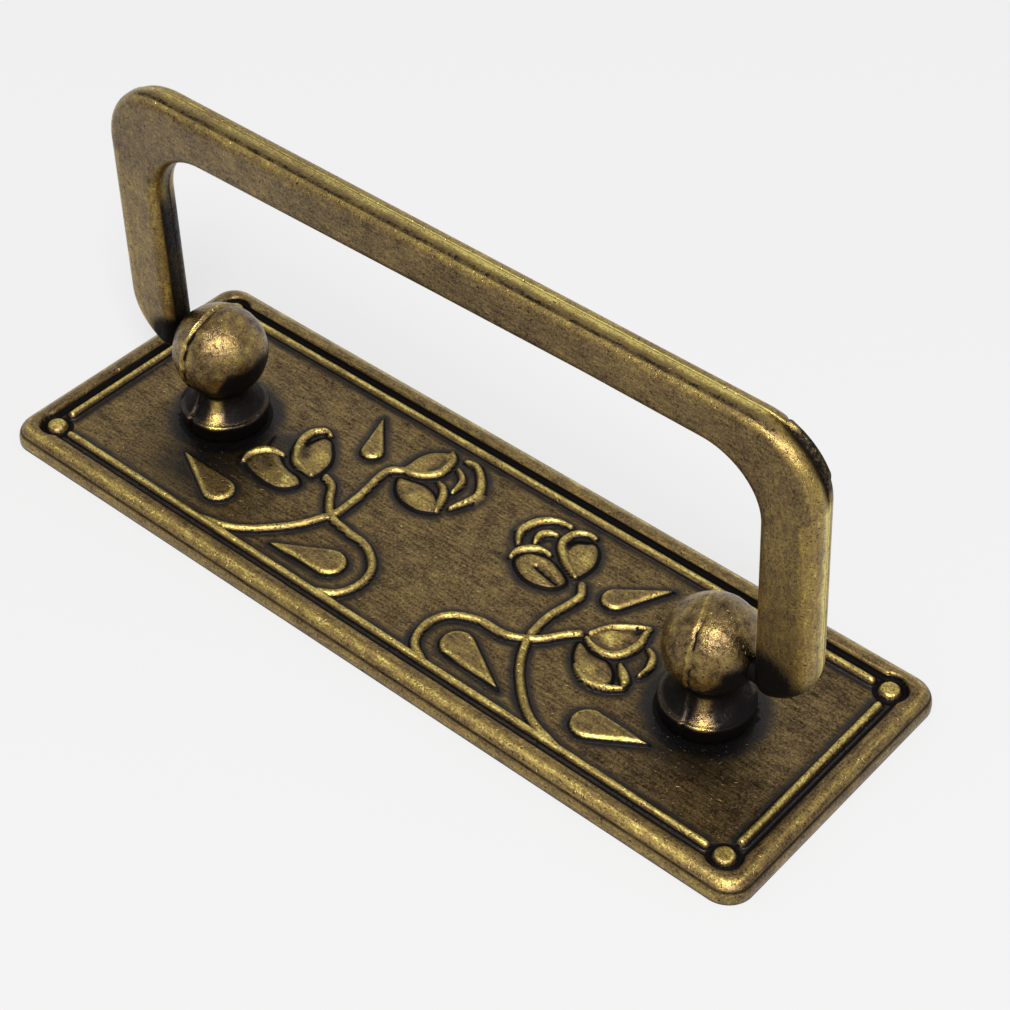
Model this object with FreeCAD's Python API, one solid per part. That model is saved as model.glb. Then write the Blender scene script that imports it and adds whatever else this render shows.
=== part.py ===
import FreeCAD, Part
import math
import os

from FreeCAD import Vector

# A bail pull lying on its back. Millimetres, +X along the backplate, +Z out of the drawer front.
# The origin is the middle of the backplate's flat back.

# Backplate: a cast plate with a rolled rim round a sunk field
PLATE_LENGTH = 95.6
PLATE_WIDTH = 33.7
PLATE_CORNER_R = 2.8
FIELD_THICKNESS = 1.4
RIM_HEIGHT = 2.2
RIM_WIDTH = 2.45
RIM_OUTER_R = 1.75
RIM_INNER_R = 0.3
FIELD_CORNER_R = 0.8

# Raised line that borders the field, broken at a round stud in each corner
LINE_SETBACK = 3.65
LINE_WIDTH = 0.9
LINE_HEIGHT = 0.7
LINE_END_GAP = 2.35
STUD_R = 0.95
STUD_HEIGHT = 0.65
STUD_POCKET_R = 1.85
STUD_INSET = 0.2

# Heights of the sprays of buds above the field
STEM_WIDTH = 0.8
STEM_HEIGHT = 0.64
LEAF_HEIGHT = 0.58
PETAL_HEIGHT = 0.42
ROLLED_EDGE_HEIGHT = 0.61
RELIEF_ROOT = 0.3

# Posts: a ball on a flared foot, staked through the plate
HOLE_PITCH = 64.0
BALL_CENTRE_HEIGHT = 10.45
BALL_R = 5.0
NECK_R = 2.85
FOOT_R = 4.75
FOOT_BASE_R = 4.5
FOOT_HEIGHT = 2.25
FOOT_LIP = 0.3
FLARE_MIDDLE_R = 3.3
FLARE_MIDDLE_HEIGHT = 1.0
SPIGOT_R = 3.0
SPIGOT_CLEARANCE = 0.05
STAKE_SPREAD = 0.5
STAKE_DEPTH = 0.6

# Tapped hole for the fixing screw, up the post from the back
SCREW_HOLE_R = 1.65
SCREW_HOLE_DEPTH = 7.5
DRILL_POINT_DEPTH = 0.9

# Bail: one casting in two mould halves, with a pin turned in at the foot of each leg. The mould halves
# don't quite agree at the top corners. The sizes named left differ from those on the right.
BAIL_THICKNESS = 3.4
BAIL_TOP_HEIGHT = 31.2
BAIL_GRIP_DEPTH = 5.1
BAIL_GRIP_DEPTH_LEFT = 6.0
BAIL_PIVOT_GAP = 0.37
BAIL_LEG_WIDTH = 6.3
BAIL_LEG_LEAN_OUTSIDE = 0.045
BAIL_LEG_LEAN_INSIDE = 0.031
BAIL_FRONT_CORNER_R = 8.0
BAIL_REAR_CORNER_R = 5.0
BAIL_REAR_CORNER_R_LEFT = 7.2
BAIL_INNER_CORNER_R = 6.0
BAIL_EDGE_R = 1.3
BAIL_FOOT_DROP = 1.7
BAIL_FOOT_DROP_LEFT = 2.9
BAIL_FOOT_OUTER_R = 6.4
BAIL_FOOT_INNER_R = 1.6
BAIL_LEAN_DEG = 3.45
PIN_R = 1.25
PIN_CLEARANCE = 0.05
PIN_DEPTH_IN_BALL = 2.5
PIN_DEPTH_IN_LEG = 1.2

FIELD_HALF_LENGTH = PLATE_LENGTH / 2 - RIM_WIDTH
FIELD_HALF_WIDTH = PLATE_WIDTH / 2 - RIM_WIDTH
LINE_X = PLATE_LENGTH / 2 - LINE_SETBACK
LINE_Y = PLATE_WIDTH / 2 - LINE_SETBACK
STUD_X = LINE_X - STUD_INSET
POST_X = HOLE_PITCH / 2
PIVOT = Vector(0, 0, BALL_CENTRE_HEIGHT)
# Edges this close together lie in the same place
SAME_PLACE = 1e-4

# The two sprays, drawn from above: points run along each stem or rolled petal edge
STEMS = [
    [(-11.9, 5.2), (-12.6, 4.6), (-12.8, 3.6), (-12.4, 1.0), (-12.4, -1.8), (-12.5, -3.6)],
    [(-17.0, -0.3), (-16.0, -0.6), (-14.5, -2.4), (-12.7, -4.1), (-9.9, -4.7), (-6.8, -5.1),
     (-4.3, -7.1), (-3.7, -9.4), (-4.5, -11.8), (-6.4, -13.1)],
    [(-13.0, -4.7), (-13.7, -6.3), (-16.0, -9.4), (-18.9, -11.9), (-22.4, -13.1)],
    [(13.0, 4.9), (13.8, 3.7), (13.7, 2.2), (13.2, -0.8), (13.4, -3.5)],
    [(17.4, -0.6), (16.3, -1.3), (14.4, -3.6), (12.0, -5.1), (8.2, -5.5), (5.6, -7.1),
     (4.9, -9.2), (5.7, -11.8), (7.9, -13.1)],
    [(13.8, -4.7), (14.6, -6.3), (17.2, -9.5), (20.6, -12.0), (24.4, -13.1)],
]
# Leaves: the point, the middle of the round end and its radius
LEAVES = [
    ((-31.0, -7.1), (-24.1, -8.9), 1.7),
    ((-14.6, -11.1), (-8.1, -9.2), 1.75),
    ((-18.9, 10.6), (-16.0, 5.7), 1.15),
    ((20.4, 10.3), (16.7, 5.5), 1.35),
    ((30.8, -7.2), (25.0, -8.9), 1.8),
    ((15.9, -11.4), (9.2, -9.3), 1.65),
]
# Petals: the low cushions inside the buds
PETALS = [
    [(-20.7, 4.1), (-19.6, 4.1), (-18.4, 2.7), (-17.7, 1.0), (-18.0, -0.8), (-20.0, -0.4), (-21.2, 2.3)],
    [(-25.4, -3.0), (-24.0, -1.0), (-22.3, -1.2), (-20.4, -2.1), (-18.2, -2.5), (-19.4, -4.7),
     (-22.5, -4.8), (-24.9, -4.5)],
    [(-11.9, 5.7), (-11.9, 8.4), (-9.8, 10.8), (-8.5, 10.4), (-8.1, 7.8), (-9.2, 6.3)],
    [(-10.6, 4.3), (-8.7, 4.9), (-6.5, 4.5), (-4.7, 3.0), (-7.0, 2.4), (-9.3, 2.9)],
    [(10.3, 10.0), (11.6, 9.3), (12.5, 7.6), (12.2, 5.6), (10.6, 6.3), (9.4, 8.4)],
    [(6.6, 3.6), (7.6, 4.7), (9.8, 4.6), (11.3, 3.7), (10.6, 2.4), (8.2, 2.2)],
    [(17.7, -0.6), (18.7, 2.3), (20.6, 3.4), (22.3, 3.2), (22.3, 0.4), (20.8, -1.1)],
    [(18.3, -2.6), (21.6, -2.8), (23.7, -4.2), (21.8, -5.0), (19.7, -4.3)],
]
# Rolled edges: the points along each and its width at the middle
ROLLED_EDGES = [
    ([(-20.9, 4.8), (-22.2, 4.6), (-22.6, 2.4), (-21.3, -0.2), (-18.0, -1.1)], 1.0),
    ([(-24.9, -0.6), (-25.3, 0.9), (-23.7, 2.2)], 1.0),
    ([(-9.2, 10.9), (-8.4, 9.2), (-8.9, 7.1), (-11.6, 5.8)], 0.9),
    ([(-7.9, 10.9), (-5.6, 10.8), (-3.7, 8.8), (-3.4, 6.8), (-4.2, 4.4)], 0.9),
    ([(-7.4, 9.5), (-6.0, 8.7), (-5.4, 6.4)], 0.6),
    ([(-7.7, 6.7), (-6.3, 5.8), (-4.9, 3.4)], 0.8),
    ([(7.4, 10.5), (5.0, 9.9), (3.6, 7.7), (4.6, 5.3)], 0.95),
    ([(6.9, 8.6), (5.6, 7.9), (5.7, 6.3)], 0.6),
    ([(9.9, 10.9), (8.1, 10.0), (8.0, 7.7), (12.0, 5.3)], 0.95),
    ([(7.9, 6.1), (5.9, 5.6), (5.0, 3.4)], 0.9),
    ([(11.5, 3.9), (8.2, 4.4), (7.0, 3.4), (8.4, 2.5), (11.0, 2.6)], 0.8),
    ([(21.8, 4.6), (22.4, 2.0), (21.3, -0.6), (17.9, -0.9)], 0.9),
    ([(23.6, 2.3), (25.1, 0.9), (24.9, -1.4)], 0.7),
    ([(22.7, -1.3), (24.2, -2.3), (24.6, -3.9)], 0.8),
    ([(20.4, -4.9), (22.4, -4.9), (24.4, -3.9)], 0.7),
]
ROLLED_EDGE_END_SHARE = 0.5
STEPS_PER_POINT = 3


def flat(points):
    return [Vector(x, y, 0) for x, y in points]


def raise_from_field(outline, height):
    """A relief of the given outline, rooted a little below the field."""
    face = Part.Face(outline)
    face.translate(Vector(0, 0, FIELD_THICKNESS - RELIEF_ROOT))
    return face.extrude(Vector(0, 0, RELIEF_ROOT + height))


def band(points, width, end_share, height):
    """A raised line along a smooth curve, narrowing to a share of its width at both ends."""
    centre = Part.BSplineCurve()
    centre.interpolate(flat(points))
    start, end = centre.FirstParameter, centre.LastParameter
    steps = STEPS_PER_POINT * len(points)
    left = []
    right = []
    for step in range(steps + 1):
        share = step / steps
        at = start + (end - start) * share
        swell = end_share + (1 - end_share) * math.sin(math.pi * share)
        side = centre.tangent(at)[0].cross(Vector(0, 0, 1)) * (width / 2 * swell)
        left.append(centre.value(at) + side)
        right.insert(0, centre.value(at) - side)
    return raise_from_field(Part.makePolygon(left + right + left[:1]), height)


def leaf(tip, middle, radius):
    """A drop: two straight sides from the tip, tangent to the round end."""
    tip, middle = flat([tip, middle])
    length = (middle - tip).Length
    along = (middle - tip) * (1 / length)
    across = Vector(-along.y, along.x, 0)
    back = radius * radius / length
    out = math.sqrt(radius * radius - back * back)
    first = middle - along * back + across * out
    last = middle - along * back - across * out
    round_end = Part.Arc(first, middle + along * radius, last).toShape()
    outline = Part.Wire([Part.makeLine(tip, first), round_end, Part.makeLine(last, tip)])
    return raise_from_field(outline, LEAF_HEIGHT)


def petal(points):
    curve = Part.BSplineCurve()
    curve.interpolate(Points=flat(points), PeriodicFlag=True)
    corners = curve.discretize(Number=STEPS_PER_POINT * len(points) + 1)
    return raise_from_field(Part.makePolygon(corners), PETAL_HEIGHT)


def sprays():
    pieces = [band(points, STEM_WIDTH, 1.0, STEM_HEIGHT) for points in STEMS]
    pieces += [leaf(*shape) for shape in LEAVES]
    pieces += [petal(points) for points in PETALS]
    for points, width in ROLLED_EDGES:
        pieces.append(band(points, width, ROLLED_EDGE_END_SHARE, ROLLED_EDGE_HEIGHT))
    return pieces


def block(half_length, half_width, low, high, corner_r):
    """A block centred on the origin in plan, with its upright edges rounded."""
    body = Part.makeBox(2 * half_length, 2 * half_width, high - low, Vector(-half_length, -half_width, low))
    upright = [edge for edge in body.Edges if edge.BoundBox.ZLength > high - low - SAME_PLACE]
    return body.makeFillet(corner_r, upright)


def edges_at(shape, height):
    """The edges that lie level at one height."""
    return [edge for edge in shape.Edges
            if abs(edge.BoundBox.ZMin - height) < SAME_PLACE
            and abs(edge.BoundBox.ZMax - height) < SAME_PLACE]


def over_field(edge):
    """Whether an edge lies over the sunk field, its outline included."""
    box = edge.BoundBox
    reach_x = max(abs(box.XMin), abs(box.XMax))
    reach_y = max(abs(box.YMin), abs(box.YMax))
    return reach_x < FIELD_HALF_LENGTH + SAME_PLACE and reach_y < FIELD_HALF_WIDTH + SAME_PLACE


def rim_and_field():
    outside = block(PLATE_LENGTH / 2, PLATE_WIDTH / 2, 0, RIM_HEIGHT, PLATE_CORNER_R)
    outside = outside.makeFillet(RIM_OUTER_R, edges_at(outside, RIM_HEIGHT))
    sunk = block(FIELD_HALF_LENGTH, FIELD_HALF_WIDTH, FIELD_THICKNESS, 2 * RIM_HEIGHT, FIELD_CORNER_R)
    plate = outside.cut(sunk)
    inner = [edge for edge in edges_at(plate, RIM_HEIGHT) if over_field(edge)]
    return plate.makeFillet(RIM_INNER_R, inner)


def border_line(start, end):
    """A half-round line on the field, from one plan point to the other."""
    start, end = flat([start, end])
    along = end - start
    side = Vector(-along.y, along.x, 0).normalize() * (LINE_WIDTH / 2)
    low = Vector(0, 0, FIELD_THICKNESS - RELIEF_ROOT)
    shoulder = Vector(0, 0, FIELD_THICKNESS + LINE_HEIGHT - LINE_WIDTH / 2)
    crest = Vector(0, 0, FIELD_THICKNESS + LINE_HEIGHT)
    foot = [start - side + low, start + side + low]
    top = [start + side + shoulder, start + crest, start - side + shoulder]
    outline = [
        Part.makeLine(foot[0], foot[1]),
        Part.makeLine(foot[1], top[0]),
        Part.Arc(top[0], top[1], top[2]).toShape(),
        Part.makeLine(top[2], foot[0]),
    ]
    return Part.Face(Part.Wire(outline)).extrude(along)


def border():
    """Four lines inside the rim and a stud in each corner."""
    end_x = LINE_X - LINE_END_GAP
    end_y = LINE_Y - LINE_END_GAP
    pieces = []
    for side in (-1, 1):
        pieces.append(border_line((-end_x, side * LINE_Y), (end_x, side * LINE_Y)))
        pieces.append(border_line((side * LINE_X, -end_y), (side * LINE_X, end_y)))
    for x in (-STUD_X, STUD_X):
        for y in (-LINE_Y, LINE_Y):
            low = FIELD_THICKNESS - RELIEF_ROOT
            stud = Part.makeCylinder(STUD_R, RELIEF_ROOT + STUD_HEIGHT, Vector(x, y, low))
            top = edges_at(stud, FIELD_THICKNESS + STUD_HEIGHT)
            pieces.append(stud.makeFillet(STUD_HEIGHT / 2, top))
    return pieces


def post_hole(x):
    """Hole for a post's spigot, countersunk at the back for the staked end."""
    radius = SPIGOT_R + SPIGOT_CLEARANCE
    hole = Part.makeCylinder(radius, 2 * RIM_HEIGHT, Vector(x, 0, 0))
    sink = Part.makeCone(radius + STAKE_SPREAD, radius, STAKE_DEPTH, Vector(x, 0, 0))
    return hole.fuse(sink)


def backplate():
    plate = rim_and_field()
    pockets = []
    for x in (-STUD_X, STUD_X):
        for y in (-LINE_Y, LINE_Y):
            pockets.append(Part.makeCylinder(STUD_POCKET_R, RIM_HEIGHT, Vector(x, y, FIELD_THICKNESS)))
    plate = plate.cut(pockets)
    plate = plate.fuse(border() + sprays())
    return plate.cut([post_hole(-POST_X), post_hole(POST_X)]).removeSplitter()


def post(side):
    """A turned-looking post cast in one piece; side is -1 on the left and 1 on the right."""
    foot_top = FIELD_THICKNESS + FOOT_HEIGHT
    ball_start = BALL_CENTRE_HEIGHT - math.sqrt(BALL_R ** 2 - NECK_R ** 2)
    flare_start = Vector(FOOT_R - FOOT_LIP, 0, foot_top)
    flare_middle = Vector(FLARE_MIDDLE_R, 0, foot_top + FLARE_MIDDLE_HEIGHT)
    neck = Vector(NECK_R, 0, ball_start)
    corners = [
        Vector(0, 0, 0),
        Vector(SPIGOT_R + STAKE_SPREAD, 0, 0),
        Vector(SPIGOT_R, 0, STAKE_DEPTH),
        Vector(SPIGOT_R, 0, FIELD_THICKNESS),
        Vector(FOOT_BASE_R, 0, FIELD_THICKNESS),
        Vector(FOOT_R, 0, foot_top - FOOT_LIP),
        flare_start,
    ]
    edges = [Part.makeLine(a, b) for a, b in zip(corners, corners[1:])]
    edges.append(Part.Arc(flare_start, flare_middle, neck).toShape())
    top = Vector(0, 0, BALL_CENTRE_HEIGHT + BALL_R)
    edges.append(Part.Arc(neck, Vector(BALL_R, 0, BALL_CENTRE_HEIGHT), top).toShape())
    edges.append(Part.makeLine(top, corners[0]))
    body = Part.Face(Part.Wire(edges)).revolve(Vector(0, 0, 0), Vector(0, 0, 1), 360)
    screw_hole = Part.makeCylinder(SCREW_HOLE_R, SCREW_HOLE_DEPTH)
    drill_point = Part.makeCone(SCREW_HOLE_R, 0, DRILL_POINT_DEPTH, Vector(0, 0, SCREW_HOLE_DEPTH))
    pin_hole = Part.makeCylinder(
        PIN_R + PIN_CLEARANCE, BALL_R, PIVOT + Vector(side * (BALL_R - PIN_DEPTH_IN_BALL), 0, 0),
        Vector(side, 0, 0))
    body = body.cut([screw_hole, drill_point, pin_hole])
    body.translate(Vector(side * POST_X, 0, 0))
    return body


def leg_inside(height):
    """Half the clear width between the legs, at a height above the pivot."""
    return POST_X + BALL_R + BAIL_PIVOT_GAP - BAIL_LEG_LEAN_INSIDE * height


def leg_outside(height):
    return POST_X + BALL_R + BAIL_PIVOT_GAP + BAIL_LEG_WIDTH - BAIL_LEG_LEAN_OUTSIDE * height


def rounded_block(corners, depth):
    """A block standing on the pivot line. Each corner of its outline has a place and a radius."""
    points = [Vector(x, 0, z) for x, z, radius in corners]
    body = Part.Face(Part.makePolygon(points + points[:1])).extrude(Vector(0, depth, 0))
    for point, (x, z, radius) in zip(points, corners):
        far = point + Vector(0, depth, 0)
        sharp = [edge for edge in body.Edges
                 if any(edge.Vertexes[0].Point.distanceToPoint(end) < SAME_PLACE for end in (point, far))
                 and any(edge.Vertexes[-1].Point.distanceToPoint(end) < SAME_PLACE for end in (point, far))]
        body = body.makeFillet(radius, sharp)
    return body


def bail_outside(depth, top_left_r, top_right_r):
    left = -BAIL_FOOT_DROP_LEFT
    right = -BAIL_FOOT_DROP
    return rounded_block([
        (-leg_outside(left), left, BAIL_FOOT_OUTER_R),
        (leg_outside(right), right, BAIL_FOOT_OUTER_R),
        (leg_outside(BAIL_TOP_HEIGHT), BAIL_TOP_HEIGHT, top_right_r),
        (-leg_outside(BAIL_TOP_HEIGHT), BAIL_TOP_HEIGHT, top_left_r),
    ], depth)


def bail_opening(depth):
    """The clear space between the legs, reaching below the feet and past both faces."""
    low = -2 * BAIL_FOOT_DROP_LEFT
    left = BAIL_TOP_HEIGHT - BAIL_GRIP_DEPTH_LEFT
    right = BAIL_TOP_HEIGHT - BAIL_GRIP_DEPTH
    opening = rounded_block([
        (-leg_inside(low), low, BAIL_EDGE_R),
        (leg_inside(low), low, BAIL_EDGE_R),
        (leg_inside(right), right, BAIL_INNER_CORNER_R),
        (-leg_inside(left), left, BAIL_INNER_CORNER_R),
    ], 3 * depth)
    opening.translate(Vector(0, -depth, 0))
    return opening


def bail_half(depth, top_left_r, top_right_r):
    """One mould half, from the parting plane at y = 0 to the face at y = depth."""
    half = bail_outside(depth, top_left_r, top_right_r).cut(bail_opening(depth))
    reach = leg_inside(-2 * BAIL_FOOT_DROP_LEFT)
    inner = [edge for edge in half.Edges
             if edge.BoundBox.ZLength < SAME_PLACE and edge.BoundBox.XLength < SAME_PLACE
             and edge.BoundBox.ZMax < 0 and abs(edge.BoundBox.XMin) < reach]
    half = half.makeFillet(BAIL_FOOT_INNER_R, inner)
    face = [edge for edge in half.Edges
            if abs(edge.BoundBox.YMin - depth) < SAME_PLACE and abs(edge.BoundBox.YMax - depth) < SAME_PLACE]
    return half.makeFillet(BAIL_EDGE_R, face)


def pivot_pin(side):
    """A pin from the leg into the ball."""
    start = POST_X + BALL_R - PIN_DEPTH_IN_BALL + BAIL_PIVOT_GAP
    length = leg_inside(0) + PIN_DEPTH_IN_LEG - start
    return Part.makeCylinder(PIN_R, length, Vector(side * start, 0, 0), Vector(side, 0, 0))


def bail():
    front = bail_half(-BAIL_THICKNESS / 2, BAIL_FRONT_CORNER_R, BAIL_FRONT_CORNER_R)
    rear = bail_half(BAIL_THICKNESS / 2, BAIL_REAR_CORNER_R_LEFT, BAIL_REAR_CORNER_R)
    body = front.fuse([rear, pivot_pin(-1), pivot_pin(1)])
    body.rotate(Vector(0, 0, 0), Vector(1, 0, 0), BAIL_LEAN_DEG)
    body.translate(PIVOT)
    return body


def save(name, shape):
    """Write one node, made of a single closed solid."""
    solid = shape.Solids[0]
    print(name, "solids", len(shape.Solids), "valid", solid.isValid(), "volume", round(solid.Volume, 1))
    solid.exportStep(os.path.join("parts", name + ".step"))


os.makedirs("parts", exist_ok=True)
save("backplate", backplate())
save("left_post", post(-1))
save("right_post", post(1))
save("bail", bail())
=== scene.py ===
import bmesh
import bpy
import math
import numpy as np
from mathutils import Matrix, Vector, noise


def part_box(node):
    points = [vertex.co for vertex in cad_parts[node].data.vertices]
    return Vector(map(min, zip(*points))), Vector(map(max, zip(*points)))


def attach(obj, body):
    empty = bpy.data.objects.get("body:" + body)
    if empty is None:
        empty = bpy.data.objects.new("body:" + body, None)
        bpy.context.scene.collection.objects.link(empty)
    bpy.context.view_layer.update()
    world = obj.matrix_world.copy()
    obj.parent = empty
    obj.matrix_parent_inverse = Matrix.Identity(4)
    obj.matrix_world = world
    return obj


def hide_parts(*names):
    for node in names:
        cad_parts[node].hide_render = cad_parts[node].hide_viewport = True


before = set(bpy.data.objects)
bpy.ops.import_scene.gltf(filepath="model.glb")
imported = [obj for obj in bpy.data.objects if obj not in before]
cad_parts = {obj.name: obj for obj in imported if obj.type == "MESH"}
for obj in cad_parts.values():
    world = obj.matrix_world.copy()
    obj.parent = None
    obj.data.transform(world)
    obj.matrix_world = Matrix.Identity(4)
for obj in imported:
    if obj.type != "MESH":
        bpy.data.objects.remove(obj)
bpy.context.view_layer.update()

# Backplate. A cast brass plate lying flat, with a rolled rim, a border line, a stud in each corner and
# two raised sprays. It was blackened after casting and rubbed back, so soot stays in every recess.

MM = 0.001
plate_low, plate_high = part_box("backplate")
HALF_LENGTH = plate_high.x / MM
HALF_WIDTH = plate_high.y / MM
RIM_TOP = plate_high.z / MM
CORNER_R = 2.8
RIM_WIDTH = 2.45
RIM_ROUNDING = 1.75
RIM_INNER_ROUNDING = 0.4
RIM_SAG = 0.1
FIELD = 1.4
FIELD_CORNER_R = 0.8
LINE_X = HALF_LENGTH - 3.65
LINE_Y = HALF_WIDTH - 3.65
LINE_HALF_WIDTH = 0.45
LINE_HEIGHT = 0.68
LINE_END_GAP = 2.35
STUD_X = LINE_X - 0.2
STUD_R = 1.12
STUD_ROUNDING = 0.4
STUD_HEIGHT = 0.66
POCKET_R = 1.7
POCKET_DEPTH = 0.12
FOOT_SPREAD = 0.15
STEM_HALF_WIDTH = 0.42
STEM_HEIGHT = 0.64
LEAF_HEIGHT = 0.58
LEAF_ROUNDING = 0.45
ROLLED_EDGE_HEIGHT = 0.66
ROLLED_EDGE_END_SHARE = 0.5
STEPS_PER_POINT = 6

# Points along each stem, from above, in millimetres
STEMS = [
    [(-11.9, 5.6), (-12.6, 5.1), (-12.95, 4.0), (-12.75, 2.0), (-12.5, 0.0), (-12.45, -1.8), (-12.5, -3.6)],
    [(-17.0, -0.3), (-16.0, -0.6), (-14.5, -2.4), (-12.7, -4.1), (-9.9, -4.7), (-6.8, -5.1),
     (-4.3, -7.1), (-3.7, -9.4), (-4.5, -11.8), (-6.4, -13.1)],
    [(-13.0, -4.7), (-13.7, -6.3), (-16.0, -9.4), (-18.9, -11.9), (-22.4, -13.1)],
    [(13.0, 4.9), (13.8, 3.7), (13.7, 2.2), (13.2, -0.8), (13.4, -3.5)],
    [(17.0, -0.4), (16.3, -1.1), (14.4, -3.6), (12.0, -5.1), (8.2, -5.5), (5.6, -7.1),
     (4.9, -9.2), (5.7, -11.8), (7.9, -13.1)],
    [(13.8, -4.7), (14.6, -6.3), (17.2, -9.5), (20.6, -12.0), (24.4, -13.1)],
]
# Leaves: the point, the middle of the round end and its radius
LEAVES = [
    ((-31.0, -7.1), (-24.1, -8.9), 1.7),
    ((-14.6, -11.1), (-8.1, -9.2), 1.75),
    ((-18.9, 10.6), (-16.2, 5.9), 1.2),
    ((20.4, 10.3), (16.7, 5.55), 1.4),
    ((30.8, -7.2), (25.0, -8.9), 1.8),
    ((15.8, -11.2), (9.0, -9.25), 1.75),
]
# Petals: the cushions inside the buds, with the height of each and how far its edge is rounded. One
# lower than SEPAL_HEIGHT is a faint sepal with no black round it.
SEPAL_HEIGHT = 0.3
PETALS = [
    (0.44, 0.8, [(-21.2, 4.3), (-20.4, 4.2), (-19.6, 3.5), (-18.7, 2.6), (-18.1, 1.6), (-17.9, 0.6),
                 (-18.0, -0.8), (-20.0, -0.9), (-21.4, -0.2), (-22.3, 1.0), (-22.2, 2.6), (-21.8, 3.7)]),
    (0.16, 0.5, [(-25.0, -0.6), (-25.5, 0.4), (-25.7, 1.4), (-25.0, 2.1), (-24.2, 2.6), (-23.6, 2.2),
                 (-23.6, 0.8)]),
    (0.44, 0.9, [(-25.0, -4.2), (-24.0, -4.6), (-22.5, -4.9), (-21.0, -5.0), (-19.6, -4.7), (-18.7, -3.9),
                 (-18.3, -2.8), (-19.2, -2.1), (-20.8, -1.9), (-22.0, -1.5), (-22.8, -1.0),
                 (-24.3, -1.1), (-25.3, -2.6)]),
    (0.42, 0.8, [(-12.1, 5.9), (-12.1, 7.0), (-12.0, 8.6), (-11.3, 10.1), (-10.2, 11.0), (-9.4, 11.4),
                 (-8.6, 10.4), (-8.2, 8.9), (-8.4, 7.5), (-9.6, 6.3), (-11.0, 5.9)]),
    (0.48, 1.0, [(-11.4, 4.7), (-10.0, 5.3), (-8.2, 5.6), (-6.7, 5.2), (-5.8, 4.5), (-4.9, 3.3),
                 (-6.3, 2.3), (-8.2, 2.1), (-9.6, 2.5), (-10.8, 3.5)]),
    (0.46, 0.9, [(10.4, 10.4), (11.2, 9.9), (11.9, 8.9), (12.3, 7.8), (12.3, 6.6), (11.9, 5.4), (10.5, 6.0),
                 (9.0, 7.1), (8.2, 8.2), (8.4, 9.4), (9.4, 10.2)]),
    (0.54, 1.0, [(5.5, 3.4), (5.9, 4.9), (7.0, 5.5), (8.3, 5.7), (9.8, 5.3), (11.6, 4.1), (11.3, 2.9),
                 (10.1, 2.1), (8.6, 1.8), (6.9, 2.2)]),
    (0.46, 0.8, [(17.6, 0.0), (18.2, 1.3), (18.8, 2.3), (19.8, 3.1), (20.6, 3.7), (21.6, 4.2), (22.0, 2.4),
                 (21.6, 0.3), (20.4, -0.6), (19.0, -0.7)]),
    (0.46, 0.9, [(17.6, -1.2), (18.0, -2.6), (19.0, -3.8), (20.3, -4.6), (21.5, -4.9), (22.6, -4.7),
                 (23.4, -4.0), (22.9, -2.5), (21.5, -1.5), (19.5, -1.5)]),
]
# Rolled edges of the buds: the points along each and its width at the middle
ROLLED_EDGES = [
    ([(-21.2, 4.85), (-22.0, 5.0), (-22.8, 4.2), (-23.05, 3.2), (-22.7, 1.7), (-22.1, 0.5), (-21.1, -0.5),
      (-19.8, -0.95), (-18.4, -1.0)], 0.85),
    ([(-25.3, -4.1), (-25.6, -3.2), (-25.4, -2.2), (-24.9, -1.4), (-24.0, -0.9), (-22.8, -0.7)], 0.8),
    ([(-9.6, 11.2), (-8.9, 10.6), (-8.6, 9.4), (-8.5, 8.2), (-9.0, 7.2), (-9.9, 6.4), (-11.2, 5.9),
      (-12.0, 5.9)], 0.85),
    ([(-7.6, 11.15), (-6.5, 11.35), (-5.6, 10.9), (-4.6, 10.0), (-3.8, 9.0), (-3.35, 8.0), (-3.5, 6.8),
      (-3.9, 5.6), (-4.2, 4.7)], 0.85),
    ([(-7.4, 9.6), (-6.6, 9.2), (-6.0, 8.6), (-5.75, 7.8), (-5.6, 6.6)], 0.62),
    ([(-7.6, 6.8), (-6.8, 6.5), (-6.0, 5.6), (-5.5, 4.6), (-5.0, 3.4)], 0.8),
    ([(6.9, 10.7), (5.3, 10.45), (4.4, 9.8), (3.75, 8.9), (3.45, 8.0), (3.35, 7.1), (3.7, 6.2),
      (4.3, 5.4)], 0.85),
    ([(6.6, 8.8), (5.8, 8.55), (5.3, 7.9), (5.3, 7.2), (5.6, 6.5)], 0.65),
    ([(9.8, 11.05), (8.9, 11.0), (8.0, 10.4), (7.6, 9.5), (7.6, 8.6), (8.1, 7.7), (8.9, 7.0), (9.8, 6.3),
      (10.8, 5.8), (11.7, 5.4)], 0.8),
    ([(7.8, 6.2), (6.6, 6.1), (5.6, 5.4), (5.0, 4.4), (5.0, 3.4)], 0.75),
    ([(21.8, 4.6), (21.9, 3.6), (22.2, 2.6), (22.2, 1.5), (21.9, 0.4), (21.2, -0.5), (20.2, -0.9),
      (19.0, -0.85), (17.9, -0.4)], 0.85),
    ([(23.4, 2.3), (24.2, 1.9), (24.7, 1.0), (24.9, 0.2), (24.8, -1.0)], 0.65),
    ([(17.7, 0.2), (18.2, 1.3), (18.8, 2.3), (19.8, 3.2), (20.7, 3.9), (21.6, 4.5)], 0.34),
    ([(22.6, -1.1), (23.4, -1.7), (24.2, -2.4), (24.6, -3.2)], 0.9),
    ([(19.3, -3.9), (20.3, -4.5), (21.4, -4.8), (22.5, -4.6), (23.5, -4.2), (24.2, -3.7),
      (24.6, -3.4)], 0.65),
]
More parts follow.
